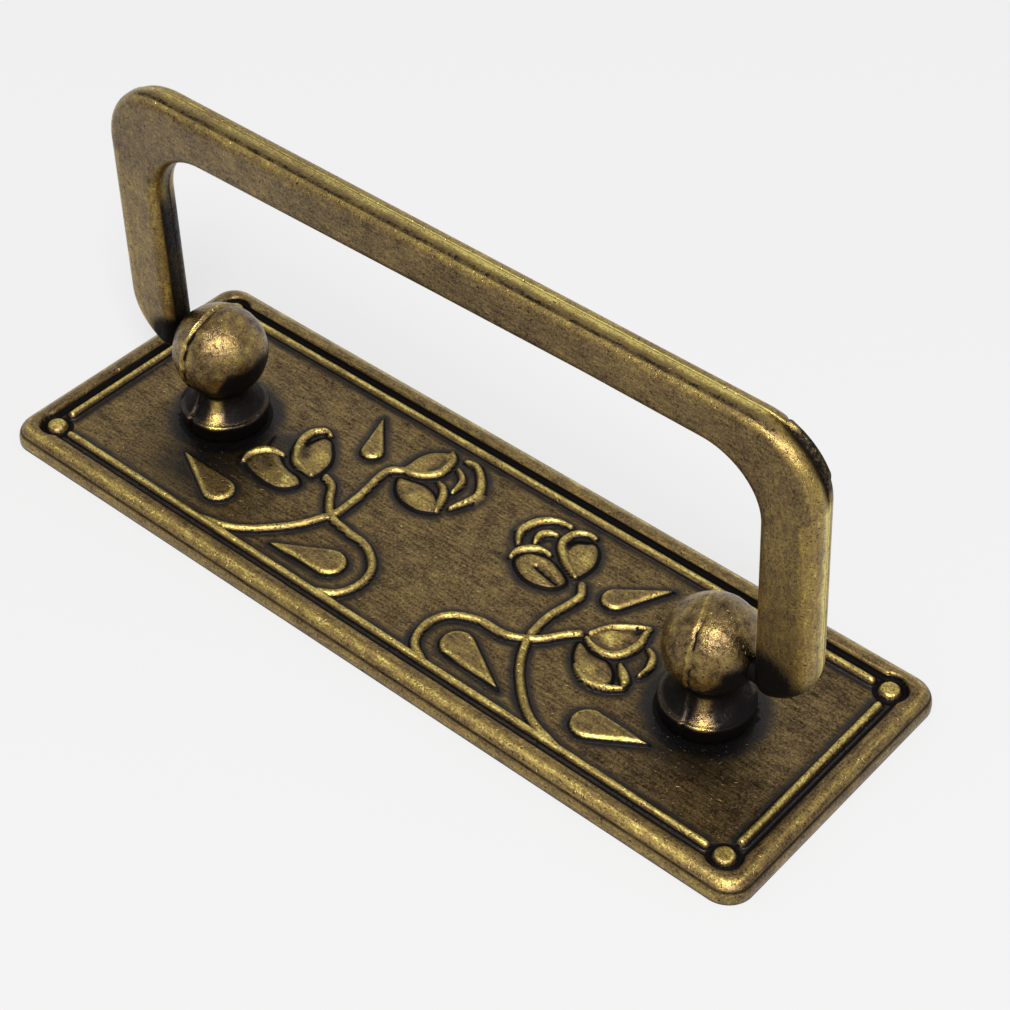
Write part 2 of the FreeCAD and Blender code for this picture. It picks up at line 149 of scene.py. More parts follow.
# Hollows pressed into the petals: the points along each, its half width, its depth and how black it is
HOLLOWS = [
    ([(-22.0, 4.2), (-22.1, 2.8), (-21.8, 1.5), (-21.0, 0.6)], 0.55, 0.22, 0.5),
    ([(-24.0, -2.4), (-23.2, -2.9)], 0.9, 0.16, 0.34),
    ([(-9.4, 9.7), (-9.3, 8.6), (-9.6, 7.8)], 0.5, 0.2, 0.4),
    ([(8.5, 8.2), (8.6, 9.2), (9.5, 10.0)], 0.45, 0.24, 0.5),
    ([(-9.6, 3.3), (-8.6, 4.4)], 0.7, 0.1, 0.3),
    ([(19.3, -1.9), (20.6, -2.2), (21.8, -2.9)], 0.8, 0.12, 0.4),
    ([(7.9, 3.85), (9.5, 3.55), (10.9, 3.35)], 0.26, 0.5, 1.7),
    ([(21.2, 3.6), (21.3, 2.4), (21.3, 1.2), (20.7, 0.2), (19.4, -0.1), (18.3, 0.1)], 0.4, 0.2, 0.4),
    ([(21.2, 3.4), (20.3, 2.7), (19.3, 2.3)], 0.3, 0.12, 0.3),
]
# Bosses on the petals: the middle, the radius and the rise
BOSSES = [
    ((-20.0, -3.4), 0.8, 0.14),
    ((19.6, 1.1), 1.1, 0.16),
    ((11.0, 8.0), 0.9, 0.1),
    ((-19.4, 1.6), 1.0, 0.08),
    ((20.9, -3.2), 1.0, 0.12),
    ((-8.3, 3.9), 0.9, 0.08),
]
POSTS_X = (-32.0, 32.0)
FOOT_R = 4.75


def smooth_line(points, closed=False):
    """Points along a smooth curve through the given ones."""
    anchors = [np.array(point, float) for point in points]
    if closed:
        anchors = [anchors[-1]] + anchors + anchors[:2]
    else:
        anchors = [2 * anchors[0] - anchors[1]] + anchors + [2 * anchors[-1] - anchors[-2]]
    line = []
    for p0, p1, p2, p3 in zip(anchors, anchors[1:], anchors[2:], anchors[3:]):
        before, here, after = (np.linalg.norm(b - a) for a, b in ((p0, p1), (p1, p2), (p2, p3)))
        start = ((p1 - p0) / before * here + (p2 - p1) / here * before) / (before + here) * here
        end = ((p2 - p1) / here * after + (p3 - p2) / after * here) / (here + after) * here
        for step in range(STEPS_PER_POINT):
            t = step / STEPS_PER_POINT
            line.append(p1 * (2 * t ** 3 - 3 * t ** 2 + 1) + start * (t ** 3 - 2 * t ** 2 + t)
                        + p2 * (3 * t ** 2 - 2 * t ** 3) + end * (t ** 3 - t ** 2))
    line.append(anchors[-2])
    return line


def gap_to_line(x, y, line):
    """Distance of each point to a line of points, and how far along the line its nearest point lies."""
    gap = np.full(x.shape, 1e3)
    along = np.zeros(x.shape)
    count = len(line) - 1
    for step, (a, b) in enumerate(zip(line, line[1:])):
        dx, dy = b - a
        t = np.clip(((x - a[0]) * dx + (y - a[1]) * dy) / max(dx * dx + dy * dy, 1e-9), 0, 1)
        here = np.hypot(x - a[0] - t * dx, y - a[1] - t * dy)
        nearer = here < gap
        gap = np.where(nearer, here, gap)
        along = np.where(nearer, (step + t) / count, along)
    return gap, along


def inside_outline(x, y, line):
    crossings = np.zeros(x.shape, int)
    for a, b in zip(line, line[1:]):
        spans = (a[1] > y) != (b[1] > y)
        rise = b[1] - a[1] if b[1] != a[1] else 1e-9
        crossings += spans & (x < a[0] + (y - a[1]) * (b[0] - a[0]) / rise)
    return crossings % 2 == 1


def gap_to_rounded_box(x, y, half_x, half_y, radius):
    """Distance outside a box with rounded corners; negative inside."""
    qx = np.abs(x) - half_x + radius
    qy = np.abs(y) - half_y + radius
    return np.hypot(np.maximum(qx, 0), np.maximum(qy, 0)) + np.minimum(np.maximum(qx, qy), 0) - radius


def gap_to_drop(x, y, tip, middle, radius):
    """Distance outside a drop with its point at tip and its round end about middle."""
    length = math.dist(tip, middle)
    ux, uy = (middle[0] - tip[0]) / length, (middle[1] - tip[1]) / length
    along = (x - tip[0]) * ux + (y - tip[1]) * uy
    side = np.abs((y - tip[1]) * ux - (x - tip[0]) * uy)
    sine = radius / length
    cosine = math.sqrt(1 - sine * sine)
    reach = side * sine + along * cosine
    gap = side * cosine - along * sine
    gap = np.where(reach < 0, np.hypot(side, along), gap)
    return np.where(reach > cosine * length, np.hypot(side, along - length) - radius, gap)


def shoulder(depth, rounding):
    """Height share of a rounded edge, by the depth inside its outline."""
    inward = 1 - np.clip(depth / rounding, 0, 1)
    return np.sqrt(np.maximum(1 - inward ** 2.2, 0))


def raised(gap, rounding):
    """Height share of a cast relief, which spreads a little at its foot."""
    inward = 1 - np.clip((FOOT_SPREAD - gap) / (rounding + FOOT_SPREAD), 0, 1)
    return 1 - inward ** 2.2


def grade(low, high, value):
    t = np.clip((value - low) / (high - low), 0, 1)
    return t * t * (3 - 2 * t)


def relief(x, y):
    """Height of the sprays above the field, the distance outside their outlines, and their polish."""
    height = np.zeros(x.shape)
    outside = np.full(x.shape, 1e3)
    polish = np.zeros(x.shape)
    for high, rounding, points in PETALS:
        line = smooth_line(points, closed=True)
        gap = gap_to_line(x, y, line)[0]
        gap = np.where(inside_outline(x, y, line), -gap, gap)
        share = raised(gap, rounding)
        height = np.maximum(height, high * share)
        polish = np.maximum(polish, 0.62 * grade(0.3, 0.95, share) * grade(0.2, 0.4, high))
        if high < SEPAL_HEIGHT:
            polish = np.maximum(polish, 0.6 * np.exp(-((gap + 0.2) / 0.2) ** 2))
            gap = np.maximum(gap, 0) + 0.5
        outside = np.minimum(outside, gap)
    for middle, radius, rise in BOSSES:
        swell = np.exp(-((x - middle[0]) ** 2 + (y - middle[1]) ** 2) / (radius * 0.7) ** 2)
        height += rise * swell
        polish += 0.25 * swell
    for points, half_width, deep, blackness in HOLLOWS:
        gap = gap_to_line(x, y, smooth_line(points))[0]
        pressed = np.exp(-(gap / half_width) ** 2)
        height = np.maximum(height - deep * pressed, 0)
        polish -= blackness * pressed
    polish = np.maximum(polish, -1)
    for tip, middle, radius in LEAVES:
        gap = gap_to_drop(x, y, tip, middle, radius)
        share = raised(gap, LEAF_ROUNDING)
        height = np.maximum(height, LEAF_HEIGHT * share)
        polish = np.maximum(polish, np.where(gap < 0, 0.5 * grade(0.2, 0.7, share)
                                             + 0.26 * (1 - grade(0.25, 0.6, -gap)), -1))
        outside = np.minimum(outside, gap)
    for points in STEMS:
        gap = gap_to_line(x, y, smooth_line(points))[0] - STEM_HALF_WIDTH
        share = raised(gap, STEM_HALF_WIDTH)
        height = np.maximum(height, STEM_HEIGHT * share)
        polish = np.maximum(polish, np.where(gap < 0, 0.76 * grade(0.3, 0.85, share), -1))
        outside = np.minimum(outside, gap)
    for points, width in ROLLED_EDGES:
        gap, along = gap_to_line(x, y, smooth_line(points))
        swell = ROLLED_EDGE_END_SHARE + (1 - ROLLED_EDGE_END_SHARE) * np.sin(math.pi * along)
        gap = gap - 0.56 * width * swell
        share = raised(gap, width / 2)
        height = np.maximum(height, ROLLED_EDGE_HEIGHT * share)
        polish = np.maximum(polish, np.where(gap < 0, 0.8 * grade(0.3, 0.85, share), -1))
        outside = np.minimum(outside, gap)
    return height, outside, polish


def spread(stops, round_from, rounding, round_steps):
    """Places from the middle outwards, closer where the stops ask for it, and even round the edge."""
    edges = [0.0]
    for reach, cell in stops:
        steps = max(1, round((reach - edges[-1]) / cell))
        edges += list(np.linspace(edges[-1], reach, steps + 1)[1:])
    turns = np.linspace(0, math.pi / 2, round_steps + 1)[1:]
    return np.array(edges + [round_from + rounding * math.sin(turn) for turn in turns])


ROUND_STEPS = 14
ROUND_FROM_X = HALF_LENGTH - RIM_ROUNDING
ROUND_FROM_Y = HALF_WIDTH - RIM_ROUNDING
COLUMNS = spread([(3.0, 0.5), (31.4, 0.165), (42.0, 0.62), (ROUND_FROM_X, 0.15)],
                 ROUND_FROM_X, RIM_ROUNDING, ROUND_STEPS)
ROWS = spread([(12.4, 0.172), (ROUND_FROM_Y, 0.13)], ROUND_FROM_Y, RIM_ROUNDING, ROUND_STEPS)


def lay_out(share, places):
    """Signed place in millimetres for a grid share from -1 to 1."""
    index = np.abs(share) * (len(places) - 1)
    return np.sign(share) * np.interp(index, range(len(places)), places)


bm = bmesh.new()
bmesh.ops.create_grid(bm, x_segments=2 * (len(COLUMNS) - 1), y_segments=2 * (len(ROWS) - 1), size=1)
grid = np.array([vert.co[:2] for vert in bm.verts])
x = lay_out(grid[:, 0], COLUMNS)
y = lay_out(grid[:, 1], ROWS)

# Each corner square of the grid is drawn in to a quarter circle
corner_x = np.abs(x) - HALF_LENGTH + CORNER_R
corner_y = np.abs(y) - HALF_WIDTH + CORNER_R
in_corner = (corner_x > 0) & (corner_y > 0)
round_x = corner_x * np.sqrt(1 - np.clip(corner_y / CORNER_R, 0, 1) ** 2 / 2)
round_y = corner_y * np.sqrt(1 - np.clip(corner_x / CORNER_R, 0, 1) ** 2 / 2)
x = np.where(in_corner, np.sign(x) * (HALF_LENGTH - CORNER_R + round_x), x)
y = np.where(in_corner, np.sign(y) * (HALF_WIDTH - CORNER_R + round_y), y)

in_from_edge = -gap_to_rounded_box(x, y, HALF_LENGTH, HALF_WIDTH, CORNER_R)
out_of_field = gap_to_rounded_box(x, y, HALF_LENGTH - RIM_WIDTH, HALF_WIDTH - RIM_WIDTH, FIELD_CORNER_R)
stud_gap = np.hypot(np.abs(x) - STUD_X, np.abs(y) - LINE_Y)
round_share = 1 - np.clip(in_from_edge / RIM_ROUNDING, 0, 1)
rim = RIM_TOP - RIM_ROUNDING * (1 - np.sqrt(np.maximum(1 - round_share ** 2, 0)))
rim -= RIM_SAG * grade(RIM_ROUNDING, RIM_WIDTH, in_from_edge)
rim_root = np.minimum(shoulder(out_of_field, RIM_INNER_ROUNDING),
                      shoulder(stud_gap - POCKET_R, RIM_INNER_ROUNDING))
near_pocket = stud_gap < POCKET_R + 1
at_root = (out_of_field < 2 * RIM_INNER_ROUNDING) | near_pocket
rim = FIELD + (rim - FIELD) * np.where(at_root, rim_root, 1)
in_pocket = 1 - grade(POCKET_R - 0.25, POCKET_R, stud_gap)

spray, spray_gap, spray_polish = relief(x, y)
line_gap_x = np.hypot(np.abs(y) - LINE_Y, np.maximum(np.abs(x) - LINE_X + LINE_END_GAP, 0))
line_gap_y = np.hypot(np.abs(x) - LINE_X, np.maximum(np.abs(y) - LINE_Y + LINE_END_GAP, 0))
line_gap = np.minimum(line_gap_x, line_gap_y) - LINE_HALF_WIDTH
line_share = raised(line_gap, LINE_HALF_WIDTH)
stud_share = raised(stud_gap - STUD_R, STUD_ROUNDING)
field = FIELD - POCKET_DEPTH * in_pocket
field = np.maximum.reduce([field, FIELD + spray, FIELD + LINE_HEIGHT * line_share * (1 - in_pocket),
                           FIELD - POCKET_DEPTH + (STUD_HEIGHT + POCKET_DEPTH) * stud_share])
on_rim = (out_of_field >= 0) & (stud_gap >= POCKET_R)
z = np.where(on_rim, rim, field)

# Soot is black in the corners of the relief, haze is the grey veil round it, and rub is the bare metal; round the
# posts' feet soot and haze are painted shade, and haze also holds painted shadows
RIM_STREAK = (0.36, 0.17)
post_gap = np.minimum(np.hypot(x - POSTS_X[0], y), np.hypot(x - POSTS_X[1], y)) - FOOT_R
standing = np.maximum.reduce([spray / STEM_HEIGHT, line_share, stud_share])
groove = grade(-0.5, -0.28, out_of_field) * (out_of_field < 0)
soot = np.maximum.reduce([
    1 - grade(0.1, 0.32, np.abs(spray_gap)),
    0.85 * (1 - grade(0.06, 0.26, line_gap)),
    # Painted shade: black close round the posts' feet
    1 - grade(0.1, 0.5, post_gap),
    1 - grade(-0.1, 0.15, stud_gap - POCKET_R),
    groove,
    0.85 * grade(0.3, 0.8, -spray_polish),
]) * (1 - grade(0.3, 0.66, standing) * (spray_polish > -0.1))
from_pocket = np.where(near_pocket, stud_gap - POCKET_R, 9)
wall_of_rim = 1 - grade(0.02, 0.2, np.minimum(out_of_field, from_pocket))
streak = np.exp(-((in_from_edge - sum(RIM_STREAK) / 2) / (RIM_STREAK[0] - RIM_STREAK[1]) / 0.8) ** 2)
thin_streak = np.exp(-((in_from_edge - 1.5) / 0.12) ** 2)
soot = np.where(on_rim, np.maximum.reduce([wall_of_rim, 0.66 * streak, 0.46 * thin_streak]), soot)
haze = np.maximum.reduce([
    0.85 * (1 - grade(0.1, 1.5, spray_gap)),
    0.85 * (1 - grade(0.1, 1.5, line_gap)),
    # Painted shade round the posts' feet
    1 - grade(0.0, 3.2, post_gap),
    # Three painted shadows beside the posts' feet, over the outer leaves and the leftmost bud
    0.75 * np.exp(-((x + 28.5) / 6.5) ** 2 - ((y + 7.5) / 4.5) ** 2),
    0.5 * np.exp(-((x - 33.0) / 7.0) ** 2 - ((y + 6.0) / 3.5) ** 2),
    0.6 * np.exp(-((x + 24.0) / 4.5) ** 2 - ((y + 1.0) / 5.0) ** 2),
])
haze = np.where(on_rim, 0, haze * (1 - grade(0.15, 0.6, standing)))
field_rub = 0.43 - 0.04 * grade(0, 2.0, HALF_WIDTH - 4 - np.abs(y)) - 0.06 * grade(18, 30, x)
ridge = np.exp(-((in_from_edge - 1.0) / 0.3) ** 2)
on_end = np.abs(x) - HALF_LENGTH > np.abs(y) - HALF_WIDTH
rub = np.where(on_rim, 0.48 + 0.28 * ridge + 0.06 * grade(0.3, 0.1, in_from_edge) - 0.1 * on_end,
               np.maximum.reduce([field_rub, spray_polish, 0.84 * grade(0.55, 0.95, line_share),
                                  0.78 * grade(0.6, 0.98, stud_share)]))
turned = on_end & on_rim

for vert, vx, vy, vz in zip(bm.verts, x, y, z):
    vert.co = (vx, vy, vz)


def paint(bm, **finishes):
    """Keep each finish as a value on every point."""
    for name, values in finishes.items():
        layer = bm.verts.layers.float.new(name)
        for vert, value in zip(bm.verts, values):
            vert[layer] = float(value)


paint(bm, soot=soot, haze=haze, rub=rub, turned=turned)

# The side wall, and the back with its two countersunk recesses for the staked posts
SPIGOT_HOLE_R = 3.05
STAKE_SPREAD = 0.5
STAKE_DEPTH = 0.6
RECESS_TOP = 1.35
soot_layer, rub_layer = (bm.verts.layers.float[name] for name in ("soot", "rub"))
edge = [e for e in bm.edges if e.is_boundary]
for height, wall_soot in ((0.16, 0.2), (0.0, 1.0)):
    wall = bmesh.ops.extrude_edge_only(bm, edges=edge)["geom"]
    for vert in (item for item in wall if isinstance(item, bmesh.types.BMVert)):
        vert.co.z = height
        vert[soot_layer] = wall_soot
        vert[rub_layer] = 0.45
    edge = [item for item in wall if isinstance(item, bmesh.types.BMEdge) and item.is_boundary]
recesses = []
for post_x in POSTS_X:
    circle = bmesh.ops.create_circle(bm, segments=96, radius=SPIGOT_HOLE_R + STAKE_SPREAD,
                                     matrix=Matrix.Translation((post_x, 0, 0)))
    recesses.append(circle["verts"])
rings = [list({e for vert in verts for e in vert.link_edges}) for verts in recesses]
bmesh.ops.triangle_fill(bm, use_beauty=True, edges=edge + rings[0] + rings[1])
for post_x, ring in zip(POSTS_X, rings):
    for radius, height in ((SPIGOT_HOLE_R, STAKE_DEPTH), (SPIGOT_HOLE_R, RECESS_TOP)):
        wall = bmesh.ops.extrude_edge_only(bm, edges=ring)["geom"]
        for vert in (item for item in wall if isinstance(item, bmesh.types.BMVert)):
            out = Vector((vert.co.x - post_x, vert.co.y, 0)).normalized() * radius
            vert.co = (post_x + out.x, out.y, height)
        ring = [item for item in wall if isinstance(item, bmesh.types.BMEdge) and item.is_boundary]
    bmesh.ops.edgeloop_fill(bm, edges=ring)
bmesh.ops.recalc_face_normals(bm, faces=bm.faces)


def finish_mesh(bm, name):
    """Turn a bmesh in millimetres into an object in metres, shaded smooth."""
    bmesh.ops.scale(bm, vec=(MM, MM, MM), verts=bm.verts)
    for face in bm.faces:
        face.smooth = True
    mesh = bpy.data.meshes.new(name)
    bm.to_mesh(mesh)
    bm.free()
    piece = bpy.data.objects.new(name, mesh)
    bpy.context.scene.collection.objects.link(piece)
    return piece


plate = finish_mesh(bm, "plate_casting")


class Nodes:
    """Short calls for building one material."""

    def __init__(self, material):
        material.use_nodes = True
        self.tree = material.node_tree
        self.tree.nodes.clear()

    def add(self, kind, **values):
        node = self.tree.nodes.new(kind)
        for key, value in values.items():
            setattr(node, key, value)
        return node

    def feed(self, socket, value):
        if isinstance(value, bpy.types.NodeSocket):
            self.tree.links.new(value, socket)
        else:
            socket.default_value = value

    def math(self, operation, a, b=0.0, c=0.0, clamp=False):
        node = self.add("ShaderNodeMath", operation=operation, use_clamp=clamp)
        for socket, value in zip(node.inputs, (a, b, c)):
            self.feed(socket, value)
        return node.outputs[0]

    def attribute(self, name):
        return self.add("ShaderNodeAttribute", attribute_name=name).outputs["Fac"]

    def noise(self, place, stretch, detail=4.0, roughness=0.6):
        """Cloudy noise; stretch gives its cells in each direction per millimetre."""
        mapping = self.add("ShaderNodeMapping")
        self.feed(mapping.inputs["Vector"], place)
        mapping.inputs["Scale"].default_value = tuple(share / MM for share in stretch)
        node = self.add("ShaderNodeTexNoise")
        self.feed(node.inputs["Vector"], mapping.outputs[0])
        node.inputs["Scale"].default_value = 1.0
        node.inputs["Detail"].default_value = detail
        node.inputs["Roughness"].default_value = roughness
        return node.outputs["Fac"]

    def grade(self, value, low, high, to_low=0.0, to_high=1.0):
        node = self.add("ShaderNodeMapRange", interpolation_type="SMOOTHSTEP")
        for socket, setting in zip(node.inputs, (value, low, high, to_low, to_high)):
            self.feed(socket, setting)
        return node.outputs[0]

    def mix(self, share, a, b):
        node = self.add("ShaderNodeMix", data_type="RGBA")
        self.feed(node.inputs[0], share)
        self.feed(node.inputs[6], a)
        self.feed(node.inputs[7], b)
        return node.outputs[2]

    def ramp(self, value, stops):
        node = self.add("ShaderNodeValToRGB")
        self.feed(node.inputs[0], value)
        elements = node.color_ramp.elements
        while len(elements) < len(stops):
            elements.new(0.5)
        for element, (position, colour) in zip(elements, stops):
            element.position = position
            element.color = (*colour, 1)
        return node.outputs[0]

    def swing(self, value, gain):
        """A noise value turned into a plus or minus about zero."""
        return self.math("MULTIPLY", self.math("SUBTRACT", value, 0.5), gain)


# The black and the grey below also colour the painted shade and shadows that the soot and haze values carry
SOOT_AND_SHADE_BLACK = (0.009, 0.008, 0.008, 1)
HAZE_AND_SHADE_GREY = (0.034, 0.031, 0.030, 1)
# From the darkest patina to bare metal
WORN_BRASS = [
    (0.0, (0.016, 0.011, 0.007)),
    (0.25, (0.085, 0.056, 0.027)),
    (0.5, (0.215, 0.146, 0.062)),
    (0.75, (0.370, 0.260, 0.072)),
    (1.0, (0.790, 0.650, 0.190)),
]


def antique_brass(name, lengthwise, turned_way, streak_gain, speckle_gain, roughness):
    """Blackened brass rubbed back: soot in recesses, brown on the flats, gold on what stands proud; its soot,
    haze and rub values also carry painted shade, shadows, a dark painted reflection and painted highlights.
    """
    material = bpy.data.materials.new(name)
    nodes = Nodes(material)
    place = nodes.add("ShaderNodeTexCoord").outputs["Object"]
    cloud = nodes.noise(place, (0.45, 0.45, 0.45), 3.0, 0.55)
    speckle = nodes.noise(place, (3.8, 3.8, 3.8), 4.0, 0.85)
    pits = nodes.noise(place, (2.3, 2.3, 2.3), 2.0, 0.5)
    specks = nodes.noise(place, (5.0, 5.0, 5.0), 1.0, 0.5)
    turned = nodes.attribute("turned")
    streaks = nodes.add("ShaderNodeMix", data_type="FLOAT")
    nodes.feed(streaks.inputs[0], turned)
    nodes.feed(streaks.inputs[2], nodes.noise(place, lengthwise, 4.0, 0.6))
    nodes.feed(streaks.inputs[3], nodes.noise(place, turned_way, 4.0, 0.6))
    streaks = streaks.outputs[0]
    # The rub value also brings in painted highlights on the posts' feet and along the bail's outer side
    wear_and_highlight = nodes.math("ADD", nodes.attribute("rub"), nodes.swing(cloud, 0.5))
    wear_and_highlight = nodes.math("ADD", wear_and_highlight, nodes.swing(speckle, speckle_gain))
    wear_and_highlight = nodes.math("ADD", wear_and_highlight, nodes.swing(streaks, streak_gain))
    colour = nodes.ramp(wear_and_highlight, WORN_BRASS)
    veil_and_shade = nodes.math("ADD", nodes.attribute("haze"), nodes.swing(cloud, 0.9))
    veil_and_shade = nodes.math("ADD", veil_and_shade, nodes.swing(speckle, 0.7))
    hazy_and_shaded = nodes.grade(nodes.attribute("haze"), 0.0, 0.15)
    veil_and_shade = nodes.math("MULTIPLY", nodes.grade(veil_and_shade, 0.1, 0.9), hazy_and_shaded)
    colour = nodes.mix(veil_and_shade, colour, HAZE_AND_SHADE_GREY)
    black = nodes.math("ADD", nodes.attribute("soot"), nodes.swing(speckle, 0.9))
    black = nodes.math("ADD", black, nodes.swing(streaks, 0.5))
    black = nodes.math("MAXIMUM", nodes.grade(black, 0.32, 0.72), nodes.grade(pits, 0.68, 0.74, 0.0, 0.75))
    black = nodes.math("MAXIMUM", black, nodes.grade(specks, 0.64, 0.7, 0.0, 0.8))
    colour = nodes.mix(black, colour, SOOT_AND_SHADE_BLACK)
    bump = nodes.add("ShaderNodeBump")
    bump.inputs["Distance"].default_value = 0.00006
    bump.inputs["Strength"].default_value = 0.8
    height = nodes.math("ADD", speckle, nodes.math("MULTIPLY", streaks, 0.5))
    height = nodes.math("SUBTRACT", height, nodes.grade(pits, 0.62, 0.74))
    nodes.feed(bump.inputs["Height"], height)
    shader = nodes.add("ShaderNodeBsdfPrincipled")
    nodes.feed(shader.inputs["Base Color"], colour)
    shader.inputs["Metallic"].default_value = 1.0
    nodes.feed(shader.inputs["Roughness"], nodes.grade(black, 0.0, 1.0, roughness, 0.6))
    nodes.feed(shader.inputs["Normal"], bump.outputs[0])
    output = nodes.add("ShaderNodeOutputMaterial")
    nodes.feed(output.inputs["Surface"], shader.outputs[0])
    return material


plate.data.materials.append(antique_brass("plate_brass", (0.45, 3.4, 3.4), (3.4, 0.45, 3.4), 0.8, 1.6, 0.3))
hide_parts("backplate")
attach(plate, "plate_and_posts")

# Posts. Each is a small brass casting with a ball on a flared foot, staked into the plate from behind,
# with a tapped hole up its middle and a hole in the ball's outer side for the bail's pin.

BALL_HEIGHT = 10.45
BALL_R = 5.0
NECK_R = 2.85
FOOT_BASE_R = 4.5
FOOT_TOP = FIELD + 2.25
FOOT_LIP = 0.3
FLARE_MIDDLE = (3.3, FOOT_TOP + 1.0)
SPIGOT_R = 3.0
BORE_R = 1.65
THREAD_DEPTH = 0.3
THREAD_PITCH = 0.7
BORE_DEPTH = 7.5
DRILL_POINT = 0.9
PIN_HOLE_R = 1.3
PIN_REACH = 2.5
SPIN_STEPS = 260


def arc(centre, radius, start, end, steps):
    """Points along an arc in the plane of the profile; angles in degrees from the level."""
    turns = np.radians(np.linspace(start, end, steps + 1))
    return [(centre[0] + radius * math.cos(turn), centre[1] + radius * math.sin(turn)) for turn in turns]


def arc_through(a, b, c, steps):
    """Points along the circle through three points of the profile."""
    ax, ay, bx, by, cx, cy = (*a, *b, *c)
    d = 2 * (ax * (by - cy) + bx * (cy - ay) + cx * (ay - by))
    a2, b2, c2 = ax * ax + ay * ay, bx * bx + by * by, cx * cx + cy * cy
    middle = ((a2 * (by - cy) + b2 * (cy - ay) + c2 * (ay - by)) / d,
              (a2 * (cx - bx) + b2 * (ax - cx) + c2 * (bx - ax)) / d)
    first = math.degrees(math.atan2(ay - middle[1], ax - middle[0]))
    last = math.degrees(math.atan2(cy - middle[1], cx - middle[0]))
    if last - first > 180:
        last -= 360
    return arc(middle, math.dist(middle, a), first, last, steps)


def post_profile(ball_r):
    """Half section from the drill point, down the tapped hole and up the outside to the ball's top."""
    profile = [(0.0, BORE_DEPTH + DRILL_POINT)]
    turns = int(BORE_DEPTH / THREAD_PITCH)
    for turn in range(turns):
        top = BORE_DEPTH - turn * THREAD_PITCH
        profile += [(BORE_R, top), (BORE_R + THREAD_DEPTH, top - THREAD_PITCH / 2)]
    profile += [(BORE_R, 0.15), (BORE_R + 0.15, 0.0), (SPIGOT_R + STAKE_SPREAD, 0.0)]
    profile += [(SPIGOT_R, STAKE_DEPTH), (SPIGOT_R, FIELD), (FOOT_BASE_R, FIELD)]
    profile += [(FOOT_BASE_R + (FOOT_R - FOOT_BASE_R) * t, FIELD + (FOOT_TOP - FOOT_LIP - FIELD) * t)
                for t in (0.25, 0.5, 0.75)]
    profile += arc((FOOT_R - FOOT_LIP, FOOT_TOP - FOOT_LIP), FOOT_LIP, 0, 90, 6)
    neck_height = BALL_HEIGHT - math.sqrt(ball_r ** 2 - NECK_R ** 2)
    profile += arc_through((FOOT_R - FOOT_LIP, FOOT_TOP), FLARE_MIDDLE, (NECK_R, neck_height), 22)[1:]
    neck_turn = -math.degrees(math.acos(NECK_R / ball_r))
    profile += arc((0, BALL_HEIGHT), ball_r, neck_turn, 90, 100)[1:]
    return profile


def spun(profile):
    """A profile of (radius, height) pairs, turned about the upright axis."""
    bm = bmesh.new()
    verts = [bm.verts.new((radius, 0, height)) for radius, height in profile]
    edges = [bm.edges.new(pair) for pair in zip(verts, verts[1:])]
    bmesh.ops.spin(bm, geom=verts + edges, cent=(0, 0, 0), axis=(0, 0, 1), angle=2 * math.pi,
                   steps=SPIN_STEPS, use_merge=True)
    bmesh.ops.remove_doubles(bm, verts=bm.verts, dist=1e-4)
    bmesh.ops.recalc_face_normals(bm, faces=bm.faces)
    return bm


# The seam of each post's mould: its place beside the axis, how far it turns in degrees, and its step
SEAMS = {"left_post": (-0.7, 0.0, 0.26), "right_post": (-0.9, 18.0, 0.12)}
BALL_RADII = {"left_post": BALL_R, "right_post": BALL_R - 0.15}
SEAM_HALF_WIDTH = 0.16
NOTCH_HALF_WIDTH = 0.36
# A painted highlight on the front of each foot, lighter and less black there; angles in radians from +X towards
# -Y
HIGHLIGHT_SIDE = 1.05
HIGHLIGHT_SPREAD = 0.24


